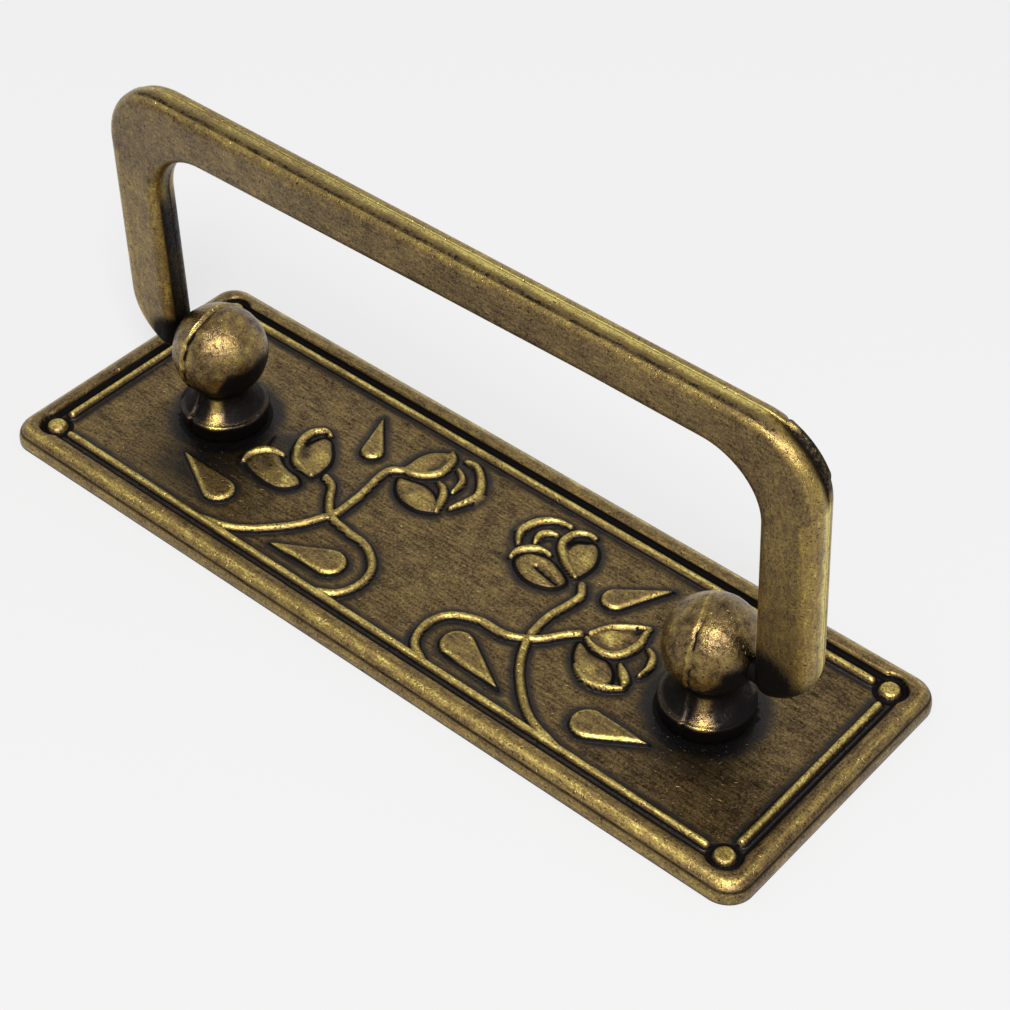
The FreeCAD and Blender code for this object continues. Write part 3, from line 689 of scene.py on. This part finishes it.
def make_post(node, post_x, side):
    bm = spun(post_profile(BALL_RADII[node]))
    seam_at, seam_turn, seam_step = SEAMS[node]
    turn = math.radians(seam_turn)
    finish = {name: [] for name in ("soot", "haze", "rub", "turned")}
    for vert in bm.verts:
        co = vert.co
        reach = math.hypot(co.x, co.y)
        past_thread = reach > BORE_R + THREAD_DEPTH + 0.01
        on_skin = co.z > FIELD and past_thread or co.z > BORE_DEPTH + DRILL_POINT + 0.01
        soot, haze, rub = 0.4, 0.0, 0.3
        if on_skin:
            ragged = noise.noise(Vector((post_x, 0, co.z * 1.1)))
            off_seam = co.x * math.cos(turn) + co.y * math.sin(turn) - seam_at - 0.3 * ragged
            facing = 1.0 if co.y < 0 else 0.6
            ridge = math.exp(-((off_seam + 0.2) / SEAM_HALF_WIDTH) ** 2)
            notch = math.exp(-((off_seam - 0.2) / (NOTCH_HALF_WIDTH * seam_step / 0.26)) ** 2)
            out = Vector((co.x, co.y, co.z - BALL_HEIGHT)).normalized() if co.z > FOOT_TOP + 1 else \
                Vector((co.x, co.y, 0)).normalized()
            wobble = noise.noise(Vector((co.x * 0.4 + post_x, co.y * 0.4, co.z * 0.4)))
            dints = noise.noise(Vector((co.x * 1.3, co.y * 1.3 + post_x, co.z * 1.3)))
            on_ball = grade(-4.4, -2.0, co.z - BALL_HEIGHT)
            below = 1 - grade(FOOT_TOP - 0.6, FOOT_TOP - 0.1, co.z)
            lip = math.exp(-((co.z - FOOT_TOP) / 0.14) ** 2)
            seam = seam_step * (0.6 * ridge - notch) * facing
            vert.co += out * (seam + 0.09 * wobble + 0.05 * min(dints, 0))
            broken = grade(-0.25, 0.2, noise.noise(Vector((post_x, 7.0, co.z * 0.7))))
            highlight_side = math.exp(-((math.atan2(-co.y, co.x) - HIGHLIGHT_SIDE) / HIGHLIGHT_SPREAD) ** 2) * (1 - below)
            foot_soot = 0.66 * (1 - on_ball) - 0.6 * highlight_side * (1 - on_ball)
            soot = max(0.95 * below, foot_soot, 0.85 * notch * facing * broken) - 0.3 * lip - 0.4 * ridge
            # Painted shade: the ball darker on its lower half and towards its right rear, and on its outer side
            # beside the bail's leg
            shaded = 1 - grade(-1.9, 0.5, co.z - BALL_HEIGHT + 2.0 * wobble - 0.3 * co.x - 0.25 * co.y)
            shaded *= grade(-5.2, -4.2, co.z - BALL_HEIGHT)
            by_leg = grade(2.4, 4.0, side * co.x) * grade(2.5, 0.0, co.z - BALL_HEIGHT)
            soot = max(soot, 0.8 * shaded, 0.8 * by_leg)
            haze = max(0.5 * (1 - on_ball) * (1 - highlight_side), 0.75 * shaded, 0.7 * by_leg)
            rub = 0.46 * on_ball + 0.25 * ridge + 0.22 * lip
            rub += (0.62 - 0.12 * side) * highlight_side * (1 - on_ball)
        finish["soot"].append(soot)
        finish["haze"].append(haze)
        finish["rub"].append(rub)
        finish["turned"].append(0)
    paint(bm, **finish)
    bmesh.ops.translate(bm, vec=(post_x, 0, 0), verts=bm.verts)
    post = finish_mesh(bm, node + "_casting")

    # The pin's hole is drilled in the ball's outer side
    drill = bmesh.new()
    bmesh.ops.create_cone(drill, cap_ends=True, segments=64, radius1=PIN_HOLE_R, radius2=PIN_HOLE_R,
                          depth=2 * PIN_REACH, matrix=Matrix.Translation((post_x + side * BALL_R, 0, BALL_HEIGHT))
                          @ Matrix.Rotation(math.pi / 2, 4, "Y"))
    cutter = finish_mesh(drill, node + "_drill")
    cut = post.modifiers.new("pin_hole", "BOOLEAN")
    cut.operation = "DIFFERENCE"
    cut.object = cutter
    bpy.context.view_layer.update()
    drilled = bpy.data.meshes.new_from_object(post.evaluated_get(bpy.context.evaluated_depsgraph_get()))
    post.modifiers.clear()
    post.data = drilled
    bpy.data.objects.remove(cutter)
    post.data.materials.clear()
    post.data.materials.append(post_brass)
    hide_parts(node)
    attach(post, "plate_and_posts")
    return post


post_brass = antique_brass("post_brass", (0.9, 0.9, 0.9), (0.9, 0.9, 0.9), 0.9, 1.1, 0.25)
left_post = make_post("left_post", POSTS_X[0], -1)
right_post = make_post("right_post", POSTS_X[1], 1)

# Bail. One brass casting from a two-part mould whose halves don't quite meet, so a step shows along its
# outer corners. The pins at the feet of its legs are turned in and sit in the balls.

BAIL_HALF_DEPTH = 1.7
BAIL_TOP = 31.2
FRONT_EDGE_R = 1.3
REAR_EDGE_R = 1.15
PARTING_DEPTH = 0.4
PARTING_HALF_WIDTH = 0.1
PARTING_GROOVE = 0.1
INSIDE_AT_PIVOT = POSTS_X[1] + BALL_R + 0.37
OUTSIDE_AT_PIVOT = INSIDE_AT_PIVOT + 6.3
INSIDE_LEAN = 0.031
OUTSIDE_LEAN = 0.045
FRONT_CORNER_R = 8.0
FOOT_OUTER_R = 6.4
FOOT_INNER_R = 1.6
LEAN = 3.45
# On each side: underside of the grip as points from its middle outwards, then the radii and the foot's drop
SIDES = {
    -1: {"underside": [(0.0, 25.75), (30.0, 25.2)], "inner_r": 7.4, "rear_r": 8.5, "drop": 2.9},
    1: {"underside": [(0.0, 25.75), (18.0, 26.0), (30.0, 25.95)], "inner_r": 6.2, "rear_r": 7.2, "drop": 1.7},
}
STRETCHES = (0, 0.47, 0.64, 0.89, 1.0)
# A lump of spare metal on the rear of the right corner, by shares of the half's length
LUMP_START = (0.5, 0.512)
LUMP_END = (0.585, 0.61)
LUMP_HEIGHT = 0.3
BAIL_STATIONS = 860
ACROSS = 28


def leg_side(at_pivot, lean, height):
    return np.array((at_pivot - lean * height, height))


def fillet(before, corner, after, radius):
    """Middle, start and end of the arc that rounds a corner."""
    before, corner, after = (np.array(point, float) for point in (before, corner, after))
    back = (before - corner) / np.linalg.norm(before - corner)
    ahead = (after - corner) / np.linalg.norm(after - corner)
    half_turn = math.acos(float(back @ ahead)) / 2
    bisector = (back + ahead) / np.linalg.norm(back + ahead)
    reach = radius / math.tan(half_turn)
    return corner + bisector * radius / math.sin(half_turn), corner + back * reach, corner + ahead * reach


def arc_between(middle, start, end, steps=40):
    first = math.atan2(start[1] - middle[1], start[0] - middle[0])
    last = math.atan2(end[1] - middle[1], end[0] - middle[0])
    turn = (last - first + math.pi) % (2 * math.pi) - math.pi
    angles = first + turn * np.linspace(0, 1, steps + 1)
    radius = math.dist(middle, start)
    return np.stack([middle[0] + radius * np.cos(angles), middle[1] + radius * np.sin(angles)], 1)


def bail_lines(underside, inner_r, rear_r, drop):
    """Inner, front and rear lines of one half, each as its grip, corner, leg and foot."""
    foot_corner = leg_side(OUTSIDE_AT_PIVOT, OUTSIDE_LEAN, -drop)
    top_corner = leg_side(OUTSIDE_AT_PIVOT, OUTSIDE_LEAN, BAIL_TOP)
    foot_middle, foot_start = fillet(top_corner, foot_corner, foot_corner - (10, 0), FOOT_OUTER_R)[:2]

    # The small arc inside the foot touches the leg's inner side and the big arc
    heights = np.linspace(-drop, foot_middle[1], 400)
    across_leg = math.hypot(1, INSIDE_LEAN)
    places = np.stack([INSIDE_AT_PIVOT - INSIDE_LEAN * heights + FOOT_INNER_R * across_leg, heights], 1)
    apart = np.abs(np.hypot(*(places - foot_middle).T) - (FOOT_OUTER_R - FOOT_INNER_R))
    small_middle = places[np.argmin(apart)]
    toward_small = (small_middle - foot_middle) / np.linalg.norm(small_middle - foot_middle)
    end = foot_middle + toward_small * FOOT_OUTER_R
    small_start = small_middle - np.array((1, INSIDE_LEAN)) / across_leg * FOOT_INNER_R

    under = [np.array(point) for point in underside]
    slope = (under[-1][1] - under[-2][1]) / (under[-1][0] - under[-2][0])
    inner_x = leg_side(INSIDE_AT_PIVOT, INSIDE_LEAN, under[-1][1])[0]
    inner_corner = np.array((inner_x, under[-1][1] + slope * (inner_x - under[-1][0])))
    middle, start, stop = fillet(under[-2], inner_corner, small_start, inner_r)
    inner = [np.array(under[:-1] + [start]), arc_between(middle, start, stop),
             np.array([stop, small_start]), arc_between(small_middle, small_start, end)]
    outers = []
    for corner_r in (FRONT_CORNER_R, rear_r):
        middle, start, stop = fillet((0, BAIL_TOP), top_corner, foot_corner, corner_r)
        outers.append([np.array([(0, BAIL_TOP), start]), arc_between(middle, start, stop),
                       np.array([stop, foot_start]), arc_between(foot_middle, foot_start, end)])
    return inner, outers[0], outers[1]


def walk(points, shares):
    """Places along a line of points, by share of its length."""
    steps = np.hypot(*np.diff(points, axis=0).T)
    reach = np.concatenate([[0], np.cumsum(steps)]) / steps.sum()
    return np.stack([np.interp(shares, reach, points[:, 0]), np.interp(shares, reach, points[:, 1])], 1)


def stationed(line, shares):
    """Places at the stations, which keep grip, corner, leg and foot in step on every line."""
    places = np.zeros((len(shares), 2))
    for points, low, high in zip(line, STRETCHES, STRETCHES[1:]):
        here = (shares >= low) & (shares <= high)
        places[here] = walk(points, (shares[here] - low) / (high - low))
    return places


bm = bmesh.new()
columns = 2 * ACROSS + 8
bmesh.ops.create_grid(bm, x_segments=BAIL_STATIONS, y_segments=columns, size=1)
grid = np.array([vert.co[:2] for vert in bm.verts])
share = np.abs(grid[:, 0])
column = np.rint((grid[:, 1] + 1) / 2 * columns).astype(int)
side = np.where(grid[:, 0] < 0, -1, 1)
across = (1 - np.cos(np.linspace(0, math.pi, ACROSS + 1))) / 2

# Round the section: inner side, front face, outer side with its parting line, rear face, inner side
on_front = (column >= 2) & (column <= ACROSS + 2)
on_rear = (column >= ACROSS + 6) & (column <= 2 * ACROSS + 6)
front_t = across[np.clip(column - 2, 0, ACROSS)]
rear_t = across[np.clip(2 * ACROSS + 6 - column, 0, ACROSS)]
outer_side = (column >= ACROSS + 3) & (column <= ACROSS + 5)
parting = column == ACROSS + 4
flat = np.zeros((len(column), 2))
depth = np.zeros(len(column))
gap_in = np.zeros(len(column))
gap_out = np.zeros(len(column))
for which, shape in SIDES.items():
    here = side == which
    inner_line, front_line, rear_line = bail_lines(**shape)
    inner, front, rear = (stationed(line, share[here]) for line in (inner_line, front_line, rear_line))
    swollen = grade(*LUMP_START, share[here]) * (1 - grade(*LUMP_END, share[here])) * (which > 0)
    outward = front - inner
    outward /= np.maximum(np.hypot(*outward.T), 0.5)[:, None]
    rear = rear + outward * (LUMP_HEIGHT * swollen)[:, None]
    f, r, o = on_front[here], on_rear[here], outer_side[here]
    places = inner.copy()
    places[f] = (inner + (front - inner) * front_t[here][:, None])[f]
    places[r] = (inner + (rear - inner) * rear_t[here][:, None])[r]
    places[o] = front[o]
    behind = column[here] == ACROSS + 5
    places[behind] = rear[behind]
    line = parting[here]
    places[line] = (front - outward * PARTING_GROOVE)[line]
    inner_gap = gap_to_line(places[:, 0], places[:, 1], np.concatenate(inner_line))[0]
    front_gap = gap_to_line(places[:, 0], places[:, 1], np.concatenate(front_line))[0]
    rear_gap = gap_to_line(places[:, 0], places[:, 1], np.concatenate(rear_line))[0] * (1 - 0.8 * swollen)
    outer_gap = np.where(r | behind, rear_gap, front_gap)
    for face, edge_r, sign in ((f, FRONT_EDGE_R, -1), (r, REAR_EDGE_R, 1)):
        gap = np.minimum(inner_gap, outer_gap)
        round_in = edge_r - np.clip(gap, 0, edge_r)
        level = BAIL_HALF_DEPTH - edge_r + np.sqrt(edge_r ** 2 - round_in ** 2)
        depth[np.flatnonzero(here)[face]] = (sign * level)[face]
    flat[here] = places
    gap_in[here] = inner_gap
    gap_out[here] = outer_gap
just_before = (column == 1) | (column == ACROSS + 3)
just_behind = (column == ACROSS + 5) | (column == 2 * ACROSS + 7)
on_line = (column == 0) | parting | (column == columns)
depth = np.where(on_line, PARTING_DEPTH, depth)
depth = np.where(just_before, PARTING_DEPTH - PARTING_HALF_WIDTH, depth)
depth = np.where(just_behind, PARTING_DEPTH + PARTING_HALF_WIDTH, depth)

lean = math.radians(LEAN)
bail_x = side * flat[:, 0]
bail_y = depth * math.cos(lean) - flat[:, 1] * math.sin(lean)
bail_z = BALL_HEIGHT + depth * math.sin(lean) + flat[:, 1] * math.cos(lean)
for vert, vx, vy, vz in zip(bm.verts, bail_x, bail_y, bail_z):
    vert.co = (vx, vy, vz)

# Painted shade on the bail's faces near the balls
from_pivot = np.hypot(flat[:, 0] - INSIDE_AT_PIVOT - 0.5, flat[:, 1] + 0.5)
near_ball = 1 - grade(np.where(side > 0, 3.0, 1.0), np.where(side > 0, 8.5, 4.5), from_pivot)
on_face = on_front | on_rear
on_leg = grade(0.6, 0.68, share)
border = np.where(on_leg > 0.5, grade(1.5, 2.0, gap_out), grade(0.5, 0.9, gap_out))
in_bend = grade(0.48, 0.5, share) * (1 - grade(0.62, 0.65, share)) * (side > 0)
# Painted highlight: the outer side is lighter from the middle of the grip to the right
bail_rub = np.where(on_face, 0.42 + 0.08 * on_leg, 0.82 + 0.28 * grade(-0.4, 0.3, grid[:, 0]) - 0.5 * in_bend)
bail_rub = np.where(on_front, np.maximum(bail_rub, 0.62 * (1 - border)), bail_rub)
bail_rub = np.where(on_front, np.maximum(bail_rub, 0.6 * (1 - grade(0.6, 1.1, gap_in))), bail_rub)
rear_border = 1 - grade(0.8, 1.6, np.minimum(gap_out, gap_in))
bail_rub = np.where(on_rear, np.maximum(bail_rub, (0.66 - 0.2 * in_bend) * rear_border), bail_rub)
# Painted reflection: a dark streak along the front rounding of the grip
streak = (1 - grade(0.16, 0.34, gap_out)) * (1 - grade(0.5, 0.57, share))
bail_soot = np.where(on_front, (0.44 + 0.16 * grade(0.0, 0.05, gap_out)) * streak, 0)
bail_soot = np.where(on_line, 0.7, bail_soot)
bail_soot = np.where(on_rear, 0.3 * (1 - grade(0.0, 0.3, gap_out)), bail_soot)
bail_soot = np.maximum(bail_soot, 0.9 * near_ball * on_face)
smudge = grade(0.5, 0.53, share) * (1 - grade(0.61, 0.64, share)) * (side > 0)
bail_soot = np.where((outer_side | (on_rear & (gap_out < 0.35))), np.maximum(bail_soot, 0.62 * smudge), bail_soot)
# Painted shade: the inner sides are greyed and blackened, more so on the legs
on_inner_side = (column <= 1) | (column >= 2 * ACROSS + 7)
inside_leg = (on_inner_side | on_rear & (gap_in < 1.3) | on_front & (gap_in < 0.1)) * on_leg
bail_soot = np.maximum(bail_soot, 0.5 * inside_leg)
bail_haze = np.where(on_inner_side, 0.75, 0.0) + 0.6 * near_ball + 0.4 * smudge * outer_side
bail_haze = np.where(on_front, np.maximum(bail_haze, 0.3 * (1 - grade(0.0, 0.3, gap_in))), bail_haze)
bail_haze = np.maximum(bail_haze, 0.8 * inside_leg)
paint(bm, soot=bail_soot, haze=bail_haze, rub=bail_rub, turned=grade(0.5, 0.62, share))
bmesh.ops.remove_doubles(bm, verts=bm.verts, dist=1e-4)

PIN_R = 1.25
PIN_IN_LEG = 1.2
for end in (-1, 1):
    start = POSTS_X[1] + BALL_R - PIN_REACH + 0.37
    length = INSIDE_AT_PIVOT + PIN_IN_LEG - start
    pin = bmesh.ops.create_cone(bm, cap_ends=True, segments=64, radius1=PIN_R, radius2=PIN_R, depth=length,
                                matrix=Matrix.Translation((end * (start + length / 2), 0, BALL_HEIGHT))
                                @ Matrix.Rotation(math.pi / 2, 4, "Y"))
    for vert in pin["verts"]:
        vert[bm.verts.layers.float["soot"]] = 0.7
bmesh.ops.recalc_face_normals(bm, faces=bm.faces)
bail = finish_mesh(bm, "bail_casting")
bail.data.materials.append(antique_brass("bail_brass", (0.8, 2.6, 2.6), (2.6, 2.6, 0.8), 0.6, 1.3, 0.31))
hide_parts("bail")
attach(bail, "bail")

# Floor. A pale seamless sheet that the pull lies on, bright enough to fall away to near white.

BACKGROUND = 0.81
FLOOR_HALF = 2.0
FLOOR_DROP = 0.00005
bm = bmesh.new()
bmesh.ops.create_grid(bm, x_segments=1, y_segments=1, size=FLOOR_HALF)
bmesh.ops.translate(bm, vec=(0, 0, -FLOOR_DROP), verts=bm.verts)
mesh = bpy.data.meshes.new("floor")
bm.to_mesh(mesh)
bm.free()
floor = bpy.data.objects.new("floor", mesh)
bpy.context.scene.collection.objects.link(floor)
material = bpy.data.materials.new("pale_floor")
nodes = Nodes(material)
path = nodes.add("ShaderNodeLightPath")
seen = nodes.math("ADD", path.outputs["Is Camera Ray"], path.outputs["Is Glossy Ray"], clamp=True)
seen = nodes.math("ADD", seen, path.outputs["Is Transmission Ray"], clamp=True)
paper = nodes.add("ShaderNodeBsdfDiffuse")
paper.inputs["Color"].default_value = (BACKGROUND, BACKGROUND, BACKGROUND, 1)
glow = nodes.add("ShaderNodeEmission")
glow.inputs["Color"].default_value = (BACKGROUND, BACKGROUND, BACKGROUND, 1)
blend = nodes.add("ShaderNodeMixShader")
nodes.feed(blend.inputs[0], nodes.math("MULTIPLY", seen, 0.8))
nodes.feed(blend.inputs[1], paper.outputs[0])
nodes.feed(blend.inputs[2], glow.outputs[0])
nodes.feed(nodes.add("ShaderNodeOutputMaterial").inputs["Surface"], blend.outputs[0])
floor.data.materials.append(material)

# Light. A white room, with one soft lamp above and a little to the left of the camera.

world = bpy.data.worlds.new("white_room")
bpy.context.scene.world = world
nodes = Nodes(world)
path = nodes.add("ShaderNodeLightPath")
seen = nodes.math("ADD", path.outputs["Is Camera Ray"], path.outputs["Is Glossy Ray"], clamp=True)
seen = nodes.math("ADD", seen, path.outputs["Is Transmission Ray"], clamp=True)
sky = nodes.add("ShaderNodeBackground")
sky.inputs["Color"].default_value = (1, 1, 1, 1)
nodes.feed(sky.inputs["Strength"], nodes.grade(seen, 0.0, 1.0, 0.62, BACKGROUND))
nodes.feed(nodes.add("ShaderNodeOutputWorld").inputs["Surface"], sky.outputs[0])


def lamp(name, place, size, power):
    """A square soft lamp that points at the middle of the pull."""
    data = bpy.data.lights.new(name, "AREA")
    data.size = size
    data.energy = power
    thing = bpy.data.objects.new(name, data)
    aim = Vector((0, 0, 0.01)) - Vector(place)
    thing.matrix_world = Matrix.Translation(place) @ aim.to_track_quat("-Z", "Y").to_matrix().to_4x4()
    bpy.context.scene.collection.objects.link(thing)


lamp("key_lamp", (0.40, -0.42, 0.80), 0.30, 11.0)

# Camera. Above the pull and to its right, as a person would look down on it.

AZIMUTH = math.radians(39.637)
ELEVATION = math.radians(42.967)
ROLL = math.radians(1.131)
FOCAL_LENGTH = 84.26
SENSOR = 36.0
STAND_OFF = (5.439, 4.327, 237.37)
AIM_HEIGHT = 2.1
back = Vector((math.sin(AZIMUTH) * math.cos(ELEVATION), -math.cos(AZIMUTH) * math.cos(ELEVATION),
               math.sin(ELEVATION)))
level = Vector((0, 0, 1)).cross(back).normalized()
rise = back.cross(level)
right = level * math.cos(ROLL) + rise * math.sin(ROLL)
up = rise * math.cos(ROLL) - level * math.sin(ROLL)
place = right * STAND_OFF[0] + up * STAND_OFF[1] + back * STAND_OFF[2] + Vector((0, 0, AIM_HEIGHT))
camera_data = bpy.data.cameras.new("camera")
camera_data.lens = FOCAL_LENGTH
camera_data.sensor_width = SENSOR
camera_data.clip_start = 0.01
camera = bpy.data.objects.new("camera", camera_data)
turn = Matrix((right, up, back)).transposed().to_4x4()
camera.matrix_world = Matrix.Translation(place * MM) @ turn
bpy.context.scene.collection.objects.link(camera)
bpy.context.scene.camera = camera
bpy.context.scene.view_settings.view_transform = "Standard"
